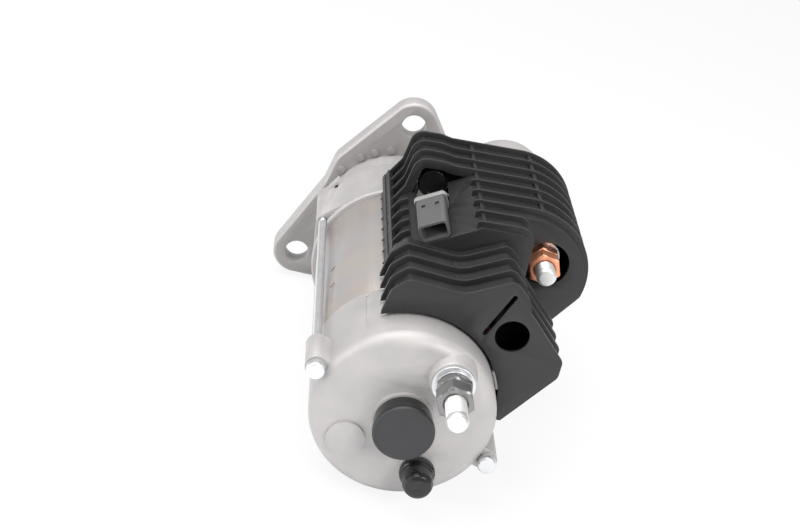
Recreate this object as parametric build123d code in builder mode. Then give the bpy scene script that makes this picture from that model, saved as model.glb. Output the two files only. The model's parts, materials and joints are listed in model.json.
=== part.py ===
from build123d import *
from math import acos, atan2, cos, degrees, hypot, pi, radians, sin, sqrt, tan
import os

# Heavy-duty starter motor with planetary reduction, millimetres.
# The motor's axis is Y and its drive end looks along +Y; +Z runs through the top mounting hole.
# The origin is the centre of the flange's mounting face, and every depth is measured from that
# face towards the rear, so a depth of 20 lies at y = -20 and a negative depth is ahead of it.

# Flange and pilot
flange_thickness = 13.0
bolt_circle_radius = 72.0
bolt_hole_radius = 8.4
ear_radius = 16.5
flange_disc_radius = 55.8
flange_shoulder_radius = 12.0
ear_count = 3
pilot_radius = 46.0
pilot_length = 6.0

# Motor body
yoke_radius = 52.5
yoke_wall = 6.0
yoke_front = 82.9
yoke_length = 126.0
end_cover_length = 56.5
end_cover_wall = 5.0
shaft_radius = 6.0
core_radius = 30.5
air_gap = 0.8
through_bolt_radius = 2.6
through_bolt_circle = 56.9
through_bolt_angle = 157.5

# Drive end
snout_radius = 36.0
snout_length = 34.0
chamber_radius = 29.0
output_shaft_radius = 8.0
pinion_shaft_radius = 15.0
pinion_teeth = 12
pinion_module = 3.0
pinion_width = 26.0
drive_travel = 19.0
plunger_travel = 12.0

# Planetary gears
gear_module = 2.0
sun_teeth = 12
planet_teeth = 12
planet_count = 3
gear_width = 16.0
pressure_angle = 25.0
backlash = 0.16

# Solenoid, parallel to the motor
solenoid_x = 66.0
solenoid_z = 46.0
solenoid_radius = 26.0
solenoid_front = 52.0
solenoid_length = 61.0
solenoid_wall = 2.5
plunger_radius = 10.4
cap_length = 35.0
terminal_radius = 6.0
terminal_head = 0.9
nut_flats = 18.0
nut_height = 8.8

# Relay and connector
relay_x = 9.5
relay_z = 70.5
relay_radius = 9.5
relay_front = 64.5
relay_length = 35.5
connector_width = 17.5
connector_height = 10.8
connector_length = 40.0
connector_wall = 1.4
connector_tilt = 28.0

# Finned cover over the solenoid and relay
fin_count = 13
fin_pitch = 14.84
fin_thickness = 1.8
first_fin = 61.5
hood_fins = 4
wide_fins = 7
tall_fins = 9
cover_wall = 2.2
fin_height = 3.6
cover_top = 88.3
cover_gap = 1.8

# Clearances
running = 0.05
seat = 0.05
open_gap = 0.4

# Worked out from the sizes above
yoke_rear = yoke_front + yoke_length
cover_rear = yoke_rear + end_cover_length
yoke_bore = yoke_radius - yoke_wall
solenoid_distance = hypot(solenoid_x, solenoid_z)
solenoid_angle = degrees(atan2(solenoid_z, solenoid_x))
# The two studs' heads stand just inside the solenoid's case
terminal_offset = (solenoid_radius - solenoid_wall - terminal_radius - terminal_head - 0.34) / sqrt(2)
motor_axis = (0.0, 0.0)
solenoid_axis = (solenoid_x, solenoid_z)
relay_axis = (relay_x, relay_z)
ring_teeth = sun_teeth + 2 * planet_teeth
planet_orbit = gear_module * (sun_teeth + planet_teeth) / 2


# Helpers
def across(depth, at=motor_axis, turn=0.0):
    """Plane across the motor at a depth, seen from the rear: x to the right, y up."""
    return Plane(
        origin=(at[0], -depth, at[1]),
        x_dir=(cos(radians(turn)), 0, sin(radians(turn))),
        z_dir=(0, -1, 0),
    )


def polar(radius, angle, centre=motor_axis):
    """Point at a radius and an angle about a centre, seen from the rear."""
    return (centre[0] + radius * cos(radians(angle)), centre[1] + radius * sin(radians(angle)))


def bar(depth, length, radius, at=motor_axis, bore=0.0, mode=Mode.ADD):
    """Round bar or tube that starts at a depth and runs towards the rear."""
    with BuildSketch(across(depth, at)) as section:
        Circle(radius)
        if bore:
            Circle(bore, mode=Mode.SUBTRACT)
    extrude(section.sketch, amount=length, mode=mode)


def turned(steps, at=motor_axis, mode=Mode.ADD):
    """Solid of revolution about a line along the motor; steps are (radius, depth) pairs."""
    with BuildSketch(Plane(origin=(at[0], 0, at[1]), x_dir=(1, 0, 0), z_dir=(0, 0, 1))) as section:
        with BuildLine():
            Polyline(*[(radius, -depth) for radius, depth in steps], close=True)
        make_face()
    revolve(section.sketch, axis=Axis((at[0], 0, at[1]), (0, 1, 0)), mode=mode)


def block(depth, length, width, height, at, turn=0.0, mode=Mode.ADD):
    """Rectangular block centred on a point and turned about the motor's direction."""
    with BuildSketch(across(depth, at, turn)) as section:
        Rectangle(width, height)
    extrude(section.sketch, amount=length, mode=mode)


def hexagon(depth, length, flats, at, bore=0.0, turn=0.0):
    """Hexagonal nut or bolt head."""
    with BuildSketch(across(depth, at, turn)) as section:
        RegularPolygon(flats / 2, 6, major_radius=False)
        if bore:
            Circle(bore, mode=Mode.SUBTRACT)
    extrude(section.sketch, amount=length)


def sector(depth, length, outer, inner, span, angle, mode=Mode.ADD):
    """Ring segment about the motor's axis, with a span in degrees centred on an angle."""
    first, last = angle - span / 2, angle + span / 2
    with BuildSketch(across(depth)) as section:
        with BuildLine():
            Line(polar(inner, first), polar(outer, first))
            ThreePointArc(polar(outer, first), polar(outer, angle), polar(outer, last))
            Line(polar(outer, last), polar(inner, last))
            ThreePointArc(polar(inner, last), polar(inner, angle), polar(inner, first))
        make_face()
    extrude(section.sketch, amount=length, mode=mode)


def gear_outline(teeth, module, tip_radius, root_radius, thinning, turn):
    """Involute tooth outline: each flank is a few chords of the involute, the tip and root arcs.

    The half angle of a tooth at radius r is pi/2z + inv(pressure angle) - inv(acos(base / r)),
    less half the thinning over the pitch radius.
    """
    pitch_radius = module * teeth / 2
    base_radius = pitch_radius * cos(radians(pressure_angle))

    def involute(angle):
        return tan(angle) - angle

    def half_angle(radius):
        at_radius = acos(min(1.0, base_radius / radius))
        whole = pi / (2 * teeth) + involute(radians(pressure_angle)) - involute(at_radius)
        return degrees(whole - thinning / (2 * pitch_radius))

    start = max(root_radius, base_radius)
    steps = [root_radius] if root_radius < base_radius else []
    steps += [start + (tip_radius - start) * step / 3 for step in range(4)]
    pitch_step = 360 / teeth
    for tooth in range(teeth):
        middle = turn + tooth * pitch_step
        rising = [polar(r, middle - half_angle(max(r, base_radius))) for r in steps]
        falling = [polar(r, middle + half_angle(max(r, base_radius))) for r in reversed(steps)]
        gap_end = middle + pitch_step - half_angle(start)
        Polyline(*rising)
        ThreePointArc(rising[-1], polar(tip_radius, middle), falling[0])
        Polyline(*falling)
        ThreePointArc(falling[-1], polar(root_radius, middle + pitch_step / 2), polar(root_radius, gap_end))


def toothed(depth, length, teeth, module, at=motor_axis, addendum=0.8, dedendum=1.05,
            thinning=backlash, turn=0.0, mode=Mode.ADD):
    """Toothed bar: a spur gear's teeth extruded towards the rear."""
    pitch_radius = module * teeth / 2
    with BuildSketch(across(depth, at)) as section:
        with BuildLine():
            gear_outline(teeth, module, pitch_radius + addendum * module,
                         pitch_radius - dedendum * module, thinning, turn)
        make_face()
    extrude(section.sketch, amount=length, mode=mode)


# Depths along the motor
clutch_front = 14.0
clutch_length = 24.0
clutch_radius = 26.0
sleeve_radius = 13.0
sleeve_length = 14.0
collar_radius = 19.0
collar_thickness = 3.0
groove_width = sleeve_length - 2 * collar_thickness - 2.0
support_front = 53.5
support_thickness = 4.0
carrier_front = 58.5
carrier_thickness = 3.5
gears_front = 63.0
gears_rear = gears_front + gear_width
gear_cover_front = 79.6
gear_cover_thickness = 3.2
gear_bore_radius = 46.5
pinion_rest = snout_length + 4.0
seal_length = 7.0
needle_length = 20.0
needle_outer_radius = 19.0

# Shift lever: a straight lever in the plane of the two axes
groove_depth = clutch_front + clutch_length + 1.0 + collar_thickness + 1.0 + groove_width / 2
lever_lower = solenoid_distance * drive_travel / (drive_travel + plunger_travel)
lever_upper = solenoid_distance - lever_lower
pivot_depth = groove_depth - drive_travel / 2
hook_depth = pivot_depth - plunger_travel / 2
lever_lean = degrees(atan2(drive_travel / 2, lever_lower))
lever_arm = hypot(lever_lower, drive_travel / 2)
pivot = polar(lever_lower, solenoid_angle)
lever_pin_radius = 3.0
fork_pin_radius = groove_width / 2 - 0.25
fork_inner = collar_radius + 2.0
fork_outer = fork_inner + 5.0
lever_thickness = 5.4
stem_half_width = 7.0
tip_radius = 3.4
neck_radius = 5.5

bell_radius = 31.0
bell_wall_front = 5.0
bell_chamber_radius = 21.0
bell_chamber_front = 14.0
screw_lip_front = 45.0
screw_circle = 17.5
screw_radius = 2.1
screw_points = [polar(screw_circle, solenoid_angle + turn, solenoid_axis) for turn in (-100, 0, 100)]
shoulder_reach = 50.0
shoulder_angle = 137.0
pin_angles = (103, 115, 126, 143)
pin_circle = 53.5
lug_angle = 145.0
lug_reach = 54.0
collar_front_radius = 54.4
collar_rear_radius = 55.5
collar_step = 79.4
neck_outer_radius = 50.0
collar_front = 36.5
bolt_pad_radius = 8.0
bolt_pad_rear = 78.0
bolt_angles = (through_bolt_angle, through_bolt_angle + 180)


def swelled_collar(depth, gap=0.0):
    """Section of the collar, which swells round the two through bolts."""
    with BuildSketch(across(depth)) as section:
        Circle(collar_front_radius + gap)
        for angle in bolt_angles:
            with Locations(polar(through_bolt_circle - 3.5, angle)):
                Circle(bolt_pad_radius + gap)
        make_hull()
    return section.sketch


# Drive housing
with BuildPart() as drive_housing:
    # Each ear narrows to the disc round the collar; the top one has a wider shoulder for the pins
    for number in range(ear_count):
        with BuildSketch(across(0)) as ear:
            Circle(flange_disc_radius)
            with Locations(polar(bolt_circle_radius, 90 + 120 * number)):
                Circle(ear_radius)
            if number == 0:
                with Locations(polar(shoulder_reach, shoulder_angle)):
                    Circle(flange_shoulder_radius)
            make_hull()
        extrude(ear.sketch, amount=flange_thickness)
    flange_rim = faces().sort_by(Axis.Y)[0].outer_wire().edges()
    chamfer(flange_rim, length=1.6)
    turned([
        (0, -pilot_length), (pilot_radius - 1, -pilot_length), (pilot_radius, -pilot_length + 1),
        (pilot_radius, 0), (0, 0),
    ])
    turned([
        (0, -snout_length), (snout_radius - 5, -snout_length), (snout_radius - 3, -snout_length + 2),
        (snout_radius, -pilot_length), (0, -pilot_length),
    ])
    turned([
        (0, 0), (neck_outer_radius, 0), (neck_outer_radius, collar_front),
        (collar_front_radius - 1.5, collar_front), (collar_front_radius, collar_front + 1.5),
        (collar_front_radius + 0.4, collar_step - 1), (collar_rear_radius, collar_step),
        (collar_rear_radius, yoke_front - 1), (collar_rear_radius - 1, yoke_front), (0, yoke_front),
    ])
    # Bell that carries the solenoid, with a domed front
    turned([
        (0, bell_wall_front), (bell_radius - 13, bell_wall_front), (bell_radius - 6, bell_wall_front + 3),
        (bell_radius - 2, bell_wall_front + 9), (bell_radius, bell_wall_front + 18),
        (bell_radius, solenoid_front), (0, solenoid_front),
    ], solenoid_axis)
    # Web between the bell and the collar
    web_front = bell_wall_front + 4
    block(web_front, solenoid_front - web_front, solenoid_distance / 2, 2 * bell_radius - 14,
          polar(solenoid_distance * 0.62, solenoid_angle), solenoid_angle)
    extrude(swelled_collar(collar_front, -0.6), amount=bolt_pad_rear - collar_front)
    # Small screw lug on the collar
    block(collar_front, 7, 9, 9, polar(lug_reach, lug_angle), lug_angle)
    # Gear chamber, clutch chamber, snout bore
    bar(support_front - 3.0, yoke_front, gear_bore_radius, mode=Mode.SUBTRACT)
    bar(-6.0, 80, chamber_radius, mode=Mode.SUBTRACT)
    bar(-snout_length - 1, 80, pinion_shaft_radius + 1.0, mode=Mode.SUBTRACT)
    bar(-snout_length - 1, 1 + seal_length, needle_outer_radius + 3, mode=Mode.SUBTRACT)
    bar(-snout_length + seal_length - 0.5, needle_length + 2, needle_outer_radius + seat, mode=Mode.SUBTRACT)
    # Solenoid bell chamber and the passage for the lever
    bar(bell_chamber_front, screw_lip_front - bell_chamber_front, bell_chamber_radius, solenoid_axis,
        mode=Mode.SUBTRACT)
    bar(bell_chamber_front, solenoid_front, plunger_radius + 2, solenoid_axis, mode=Mode.SUBTRACT)
    bar(solenoid_front, 60, solenoid_radius + open_gap, solenoid_axis, mode=Mode.SUBTRACT)
    for screw_at in screw_points:
        bar(screw_lip_front - 1, 20, screw_radius + seat, screw_at, mode=Mode.SUBTRACT)
    with BuildSketch(across(22, turn=solenoid_angle)) as passage:
        with Locations(((chamber_radius + solenoid_distance) / 2 - 6, 0)):
            Rectangle(solenoid_distance - chamber_radius + 12, 2 * stem_half_width + 4)
    extrude(passage.sketch, amount=28, mode=Mode.SUBTRACT)
    # Holes
    with BuildSketch(across(-1)) as mounting_holes:
        with PolarLocations(bolt_circle_radius, ear_count, start_angle=90):
            Circle(bolt_hole_radius)
    extrude(mounting_holes.sketch, amount=flange_thickness + 2, mode=Mode.SUBTRACT)
    with BuildSketch(Plane(origin=(pivot[0], -pivot_depth, pivot[1]), x_dir=(0, 1, 0),
                           z_dir=(sin(radians(solenoid_angle)), 0, -cos(radians(solenoid_angle))))) as pin_hole:
        Circle(lever_pin_radius + seat)
    extrude(pin_hole.sketch, amount=60, both=True, mode=Mode.SUBTRACT)
    for angle in bolt_angles:
        bar(58, 40, through_bolt_radius + 0.3, polar(through_bolt_circle, angle), mode=Mode.SUBTRACT)
    # Hole in the screw lug, and the ejector pins' marks that stand on the flange's rear face
    bar(collar_front + 1, 8, 1.7, polar(lug_reach + 1.2, lug_angle), mode=Mode.SUBTRACT)
    for angle in pin_angles:
        bar(flange_thickness - 1, 2.4, 2.6, polar(pin_circle, angle))

# Snout: seal and needle bearing
with BuildPart() as nose_seal:
    turned([
        (pinion_shaft_radius + 0.1, -snout_length + 1), (needle_outer_radius + 3 - seat, -snout_length + 1),
        (needle_outer_radius + 3 - seat, -snout_length + seal_length - seat),
        (pinion_shaft_radius + 2.5, -snout_length + seal_length - seat),
        (pinion_shaft_radius + 2.5, -snout_length + 3),
    ])

with BuildPart() as needle_bearing:
    bar(-snout_length + seal_length, needle_length, needle_outer_radius, bore=needle_outer_radius - 1.2)
    with BuildSketch(across(-snout_length + seal_length + 1.5)) as needles:
        with PolarLocations((needle_outer_radius - 1.25 + pinion_shaft_radius + running) / 2, 18):
            Circle((needle_outer_radius - 1.3 - pinion_shaft_radius - running) / 2)
    extrude(needles.sketch, amount=needle_length - 3)

# Pinion and roller clutch
roller_count = 5
roller_radius = 4.5
roller_length = 14.0
bore_gap = 0.6
spline_count = 6
spline_front = 15.0
spline_radius = output_shaft_radius + 1.7
pinion_tail = clutch_front + 18.0
with BuildPart() as pinion:
    toothed(-pinion_rest - pinion_width, pinion_width, pinion_teeth, pinion_module, addendum=1.0, dedendum=1.25)
    bar(-pinion_rest, pinion_rest + pinion_tail, pinion_shaft_radius)
    bar(-pinion_rest - pinion_width - 1, 200, output_shaft_radius + bore_gap, mode=Mode.SUBTRACT)
    bar(spline_front - 1, 200, spline_radius + bore_gap, mode=Mode.SUBTRACT)
    pinion_front = faces().filter_by(Axis.Y).sort_by(Axis.Y)[-1]
    chamfer(pinion_front.outer_wire().edges(), length=0.8)

with BuildPart() as clutch_shell:
    bar(clutch_front, clutch_length, clutch_radius)
    bar(clutch_front - 1, 3, pinion_shaft_radius + 0.3, mode=Mode.SUBTRACT)
    bar(clutch_front + 2, 16.5, pinion_shaft_radius + 2 * roller_radius + 0.3, mode=Mode.SUBTRACT)
    bar(clutch_front + clutch_length, sleeve_length + 0.7, sleeve_radius)
    collar_at = clutch_front + clutch_length + 1.0
    bar(collar_at, collar_thickness + 1, collar_radius)
    bar(collar_at + collar_thickness + 1 + groove_width, collar_thickness, collar_radius)
    bar(clutch_front, 60, output_shaft_radius + bore_gap, mode=Mode.SUBTRACT)
    with BuildSketch(across(clutch_front + 18)) as spline_grooves:
        with PolarLocations(output_shaft_radius + 1.0, spline_count):
            Rectangle(3.2, 3.2)
    extrude(spline_grooves.sketch, amount=40, mode=Mode.SUBTRACT)

with BuildPart() as clutch_rollers:
    with BuildSketch(across(clutch_front + 3)) as rollers:
        with PolarLocations(pinion_shaft_radius + roller_radius + 0.15, roller_count, start_angle=90):
            Circle(roller_radius)
    extrude(rollers.sketch, amount=roller_length)

# Planetary gear set
planet_pin_radius = 4.0
with BuildPart() as planet_carrier:
    bar(carrier_front, carrier_thickness, planet_orbit + 9)
    bar(-pinion_rest - pinion_width + 3, carrier_front + pinion_rest + pinion_width - 3, output_shaft_radius)
    with BuildSketch(across(spline_front)) as splines:
        with PolarLocations(spline_radius - 1.1, spline_count):
            Rectangle(2.2, 2.8)
    extrude(splines.sketch, amount=support_front - spline_front - 1)
    bar(support_front - 0.5, carrier_front - support_front + 1, output_shaft_radius + 2.0)
    bar(carrier_front - 10, 60, shaft_radius - 1 + running, mode=Mode.SUBTRACT)
    with BuildSketch(across(carrier_front - 1)) as pin_seats:
        with PolarLocations(planet_orbit, planet_count):
            Circle(planet_pin_radius + seat / 2)
    extrude(pin_seats.sketch, amount=10, mode=Mode.SUBTRACT)

with BuildPart() as planet_pins:
    with BuildSketch(across(carrier_front)) as pins:
        with PolarLocations(planet_orbit, planet_count):
            Circle(planet_pin_radius)
    extrude(pins.sketch, amount=gears_rear - carrier_front)


def planet_gear(angle):
    """Planet gear on its pin; a gap of its teeth faces the sun's tooth and the ring's tooth."""
    centre = polar(planet_orbit, angle)
    with BuildPart() as planet:
        toothed(gears_front, gear_width, planet_teeth, gear_module, centre, turn=angle + 180 / planet_teeth)
        bar(gears_front - 1, gear_width + 2, planet_pin_radius + running, centre, mode=Mode.SUBTRACT)
    return planet


planet_gears = [planet_gear(360 / planet_count * number) for number in range(planet_count)]

with BuildPart() as ring_gear:
    bar(gears_front - 3.2, gear_width + 3.6, gear_bore_radius - seat)
    toothed(gears_front - 4, gear_width + 6, ring_teeth, gear_module, addendum=1.1, dedendum=0.8,
            thinning=-backlash, turn=180 / ring_teeth, mode=Mode.SUBTRACT)

with BuildPart() as sun_gear:
    toothed(gears_front - 0.3, gear_width, sun_teeth, gear_module)
    bar(gears_front - 2, gear_width + 4, shaft_radius + seat / 2, mode=Mode.SUBTRACT)

with BuildPart() as support_plate:
    bar(support_front, support_thickness, gear_bore_radius - seat, bore=output_shaft_radius + 2.0 + running)
    bar(support_front - 2.5, 3, gear_bore_radius - seat, bore=gear_bore_radius - 4)

with BuildPart() as gear_cover_plate:
    bar(gear_cover_front, gear_cover_thickness, gear_bore_radius - seat, bore=shaft_radius + 1.2)

# Shift lever and its pin
lever_plane = Plane(
    origin=(pivot[0], -pivot_depth, pivot[1]),
    x_dir=(cos(radians(solenoid_angle)), 0, sin(radians(solenoid_angle))),
    z_dir=(sin(radians(solenoid_angle)), 0, -cos(radians(solenoid_angle))),
)
lean_plane = Plane(
    origin=lever_plane.origin,
    x_dir=(cos(radians(solenoid_angle)) * cos(radians(lever_lean)), sin(radians(lever_lean)),
           sin(radians(solenoid_angle)) * cos(radians(lever_lean))),
    z_dir=lever_plane.z_dir,
)
lever_face = Plane(origin=lean_plane.origin, x_dir=lean_plane.x_dir, z_dir=lean_plane.y_dir)
upper_arm = hypot(lever_upper, plunger_travel / 2)
with BuildPart() as shift_lever:
    with BuildSketch(lever_face) as lever_front:
        with Locations((-lever_arm, 0)):
            Circle(fork_outer)
        with Locations((-lever_arm / 2 + 6, 0)):
            Rectangle(lever_arm - 12, 2 * stem_half_width)
        with Locations((upper_arm / 2 - 4, 0)):
            Rectangle(upper_arm - 8, 2 * stem_half_width)
        with Locations((-lever_arm, 0)):
            Circle(fork_inner, mode=Mode.SUBTRACT)
        with Locations((-lever_arm - fork_outer - 4.5, 0)):
            Rectangle(2 * fork_outer, 3 * fork_outer, mode=Mode.SUBTRACT)
    extrude(lever_front.sketch, amount=lever_thickness / 2, both=True)
    with BuildSketch(lean_plane) as pivot_boss:
        Circle(lever_pin_radius + 4)
    extrude(pivot_boss.sketch, amount=stem_half_width, both=True)
    with BuildSketch(lean_plane) as tip_outline:
        with Locations((upper_arm, 0)):
            Circle(tip_radius)
        with Locations((upper_arm - 5, 0)):
            Rectangle(10, 3.4)
    extrude(tip_outline.sketch, amount=2.4, both=True)
    for side in (1, -1):
        with BuildSketch(lean_plane.offset(side * (sleeve_radius + 1.0))) as fork_pin:
            with Locations((-lever_arm, 0)):
                Circle(fork_pin_radius)
        extrude(fork_pin.sketch, amount=side * (fork_outer - sleeve_radius - 2.5))
    with BuildSketch(lean_plane) as pivot_bore:
        Circle(lever_pin_radius + running)
    extrude(pivot_bore.sketch, amount=stem_half_width + 1, both=True, mode=Mode.SUBTRACT)

with BuildPart() as lever_pin:
    with BuildSketch(lever_plane) as pin_section:
        Circle(lever_pin_radius)
    extrude(pin_section.sketch, amount=19, both=True)

# Solenoid
case_rear = solenoid_front + solenoid_length
case_bore = solenoid_radius - solenoid_wall
bobbin_radius = plunger_radius + 0.1
core_front = 90.0
core_plate = 104.0
core_plate_thickness = 8.0
spring_bore = 6.5
spring_seat = core_front - 40.0
contact_travel = 3.0
contact_radius = 19.5
contact_rod_radius = 2.5
cap_chamber = 12.0
cap_rear = case_rear + cap_length
battery_terminal = (solenoid_x + terminal_offset, solenoid_z + terminal_offset)
motor_terminal = (solenoid_x - terminal_offset, solenoid_z - terminal_offset)

with BuildPart() as solenoid_case:
    bar(solenoid_front + 0.02, solenoid_length, solenoid_radius, solenoid_axis)
    bar(solenoid_front + solenoid_wall, solenoid_length, case_bore, solenoid_axis, mode=Mode.SUBTRACT)
    bar(solenoid_front - 1, 10, plunger_radius + 0.3, solenoid_axis, mode=Mode.SUBTRACT)
    for screw_at in screw_points:
        bar(solenoid_front - 1, 6, screw_radius + seat, screw_at, mode=Mode.SUBTRACT)

with BuildPart() as solenoid_bobbin:
    bar(solenoid_front + solenoid_wall + seat, core_plate - solenoid_front - solenoid_wall - 2 * seat,
        bobbin_radius + 1.4, solenoid_axis, bore=bobbin_radius)
    for flange_at in (solenoid_front + solenoid_wall + 4.0, core_plate - 1.6):
        bar(flange_at, 1.5, case_bore - 0.2, solenoid_axis, bore=bobbin_radius + 1)

with BuildPart() as solenoid_coil:
    coil_front = solenoid_front + solenoid_wall + 5.6
    bar(coil_front, core_plate - 1.7 - coil_front, case_bore - 0.8, solenoid_axis, bore=bobbin_radius + 1.5)

with BuildPart() as solenoid_core:
    bar(core_plate, core_plate_thickness, case_bore - seat, solenoid_axis)
    bar(core_front, core_plate - core_front + 1, plunger_radius - 0.1, solenoid_axis)
    bar(core_front - 1, 40, contact_rod_radius + 0.5, solenoid_axis, mode=Mode.SUBTRACT)

with BuildPart() as plunger:
    bar(44, 33.5, plunger_radius, solenoid_axis)
    bar(21, 24, neck_radius, solenoid_axis)
    bar(spring_seat, 60, spring_bore, solenoid_axis, mode=Mode.SUBTRACT)
    with BuildSketch(across(hook_depth - tip_radius - 0.2, solenoid_axis, solenoid_angle)) as window:
        Rectangle(30, 5.6)
    extrude(window.sketch, amount=2 * tip_radius + 0.4, mode=Mode.SUBTRACT)
    neck_end = faces().filter_by(Axis.Y).sort_by(Axis.Y)[-1]
    chamfer(neck_end.outer_wire().edges(), length=1.2)

spring_turns = 8
spring_wire = 0.9
with BuildPart() as return_spring:
    spring_rise = core_front - spring_seat - 1 - 2 * spring_wire
    with BuildLine() as coil_path:
        Helix(spring_rise / spring_turns, spring_rise, spring_bore - spring_wire - 0.4,
              center=(solenoid_x, -spring_seat - 0.5 - spring_wire, solenoid_z), direction=(0, -1, 0))
    with BuildSketch(Plane(origin=coil_path.line @ 0, z_dir=coil_path.line % 0)) as wire_section:
        Circle(spring_wire)
    sweep(wire_section.sketch, path=coil_path.line, is_frenet=True)

with BuildPart() as contact_bridge:
    disc_front = case_rear + cap_chamber - 3.4 - 0.3 - contact_travel - 2.5
    bar(disc_front, 2.5, contact_radius, solenoid_axis)
    bar(spring_seat + 9.3, disc_front - spring_seat - 9.3, contact_rod_radius, solenoid_axis)

with BuildPart() as solenoid_cap:
    bar(case_rear + 0.05, 16.0, solenoid_radius - 0.1, solenoid_axis)
    bar(case_rear + 16, cap_length - 16, solenoid_radius - 2.5, solenoid_axis)
    cap_end = faces().filter_by(Axis.Y).sort_by(Axis.Y)[0]
    fillet(cap_end.outer_wire().edges(), radius=2.0)
    bar(case_rear - 1, cap_chamber + 1, case_bore + 0.1, solenoid_axis, mode=Mode.SUBTRACT)
    for terminal in (battery_terminal, motor_terminal):
        bar(case_rear, 60, terminal_radius + seat, terminal, mode=Mode.SUBTRACT)


free_end_radius = terminal_radius - 0.25
battery_free_end = 9.3
motor_free_end = 3.0
stud_chamfer = 1.2


def terminal_stud(at, rear, free_end):
    """Copper contact bolt: head in the contact chamber, threaded shank out through the cap."""
    head_front = case_rear + cap_chamber - 3.4
    with BuildPart() as stud:
        bar(head_front, 3.35, terminal_radius + terminal_head, at)
        bar(head_front + 1, rear - free_end - head_front - 1, terminal_radius, at)
        bar(head_front + 1, rear - head_front - 1, free_end_radius, at)
        chamfer(faces().filter_by(Axis.Y).sort_by(Axis.Y)[0].edges(), length=stud_chamfer)
    return stud


battery_nut_front = cap_rear + 3.4
battery_stud_rear = battery_nut_front + 2 * nut_height + battery_free_end + 1
battery_stud = terminal_stud(battery_terminal, battery_stud_rear, battery_free_end)
motor_stud = terminal_stud(motor_terminal, cap_rear + 2.1 + nut_height + motor_free_end, motor_free_end)

with BuildPart() as battery_washer:
    bar(cap_rear + 0.02, battery_nut_front - cap_rear - 0.04, terminal_radius + 5, battery_terminal,
        bore=terminal_radius + seat)

with BuildPart() as battery_nuts:
    for number in range(2):
        hexagon(battery_nut_front + number * nut_height, nut_height - 0.3, nut_flats, battery_terminal,
                bore=terminal_radius + seat, turn=12 + 5 * number)

strap_angle = degrees(atan2(motor_terminal[1], motor_terminal[0]))
strap_radius = hypot(*motor_terminal)
with BuildPart() as motor_nut:
    hexagon(cap_rear + 2.1, nut_height - 0.3, nut_flats, motor_terminal, bore=terminal_radius + seat,
            turn=strap_angle + 30)

# Copper strap from the motor terminal into the yoke, and the grommet that seals it
strap_rear = yoke_rear - 12.0
strap_width = 10.0
strap_thickness = 2.0
strap_reach = 10.6
with BuildPart() as motor_strap:
    bar(cap_rear + 0.03, strap_thickness, 8.5, motor_terminal)
    block(cap_rear + 0.03, strap_thickness, strap_reach + 1, strap_width,
          polar(strap_radius - strap_reach / 2 - 0.5, strap_angle), strap_angle)
    block(cap_rear + 0.03, strap_rear - cap_rear, strap_thickness, strap_width,
          polar(strap_radius - strap_reach, strap_angle), strap_angle)
    block(strap_rear - strap_thickness, strap_thickness, 14, strap_width,
          polar(strap_radius - 16, strap_angle), strap_angle)
    bar(cap_rear - 1, 20, terminal_radius + seat, motor_terminal, mode=Mode.SUBTRACT)

grommet_width = strap_width + 5
grommet_depth = strap_thickness + 5
grommet_front = strap_rear - strap_thickness / 2 - grommet_depth / 2
with BuildPart() as strap_grommet:
    grommet_at = polar((yoke_bore + yoke_radius) / 2 - 0.1, strap_angle)
    block(grommet_front, grommet_depth, yoke_wall - 0.9, grommet_width, grommet_at, strap_angle)
    block(strap_rear - strap_thickness - seat, strap_thickness + 2 * seat, 3 * yoke_wall,
          strap_width + 2 * seat,
          grommet_at, strap_angle, mode=Mode.SUBTRACT)

with BuildPart() as solenoid_screws:
    for screw_at in screw_points:
        bar(solenoid_front + solenoid_wall + 0.03, 3.0, 3.6, screw_at)
        bar(screw_lip_front + 0.5, solenoid_front + solenoid_wall + 1 - screw_lip_front, screw_radius, screw_at)

# Yoke, poles and field coils
with BuildPart() as yoke:
    bar(yoke_front + 0.02, yoke_length - 0.04, yoke_radius, bore=yoke_bore)
    block(grommet_front - seat, grommet_depth + 2 * seat, 3 * yoke_wall, grommet_width + 2 * seat,
          grommet_at, strap_angle, mode=Mode.SUBTRACT)
    for stake_depth in (149.6, 170.6):
        block(stake_depth, 2.4, 2.0, 4.2, polar(yoke_radius - 0.2, 150.4), 150.4, mode=Mode.SUBTRACT)

pole_front = yoke_front + 20
pole_length = 82.0
pole_count = 4
pole_inner = core_radius + air_gap
pole_angles = [45 + 90 * number for number in range(pole_count)]
with BuildPart() as pole_shoes:
    for angle in pole_angles:
        sector(pole_front, pole_length, yoke_bore - seat, pole_inner, 34, angle)
        sector(pole_front, pole_length, pole_inner + 3, pole_inner, 62, angle)

with BuildPart() as field_coils:
    for angle in pole_angles:
        sector(pole_front - 8, pole_length + 16, yoke_bore - 1.5, pole_inner + 4, 80, angle)
        sector(pole_front - 0.5, pole_length + 1, yoke_bore + 5, pole_inner - 5, 36.5, angle,
               mode=Mode.SUBTRACT)

# Armature
core_front_depth = pole_front - 2
core_length = pole_length + 4
commutator_front = yoke_rear - 4
commutator_length = 26.0
commutator_radius = 20.0
bearing_width = 10.0
bearing_radius = 16.0
end_wall_front = cover_rear - 8.0
bearing_front = end_wall_front - 1 - bearing_width
with BuildPart() as armature_shaft:
    bar(carrier_front - 8, gears_rear + 4 - carrier_front + 8, shaft_radius - 1)
    bar(gears_front - 0.5, bearing_front - gears_front, shaft_radius)
    bar(bearing_front - 1, bearing_width + 3, shaft_radius - 0.02)
    chamfer(faces().filter_by(Axis.Y).sort_by(Axis.Y)[0].edges(), length=0.8)

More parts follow.
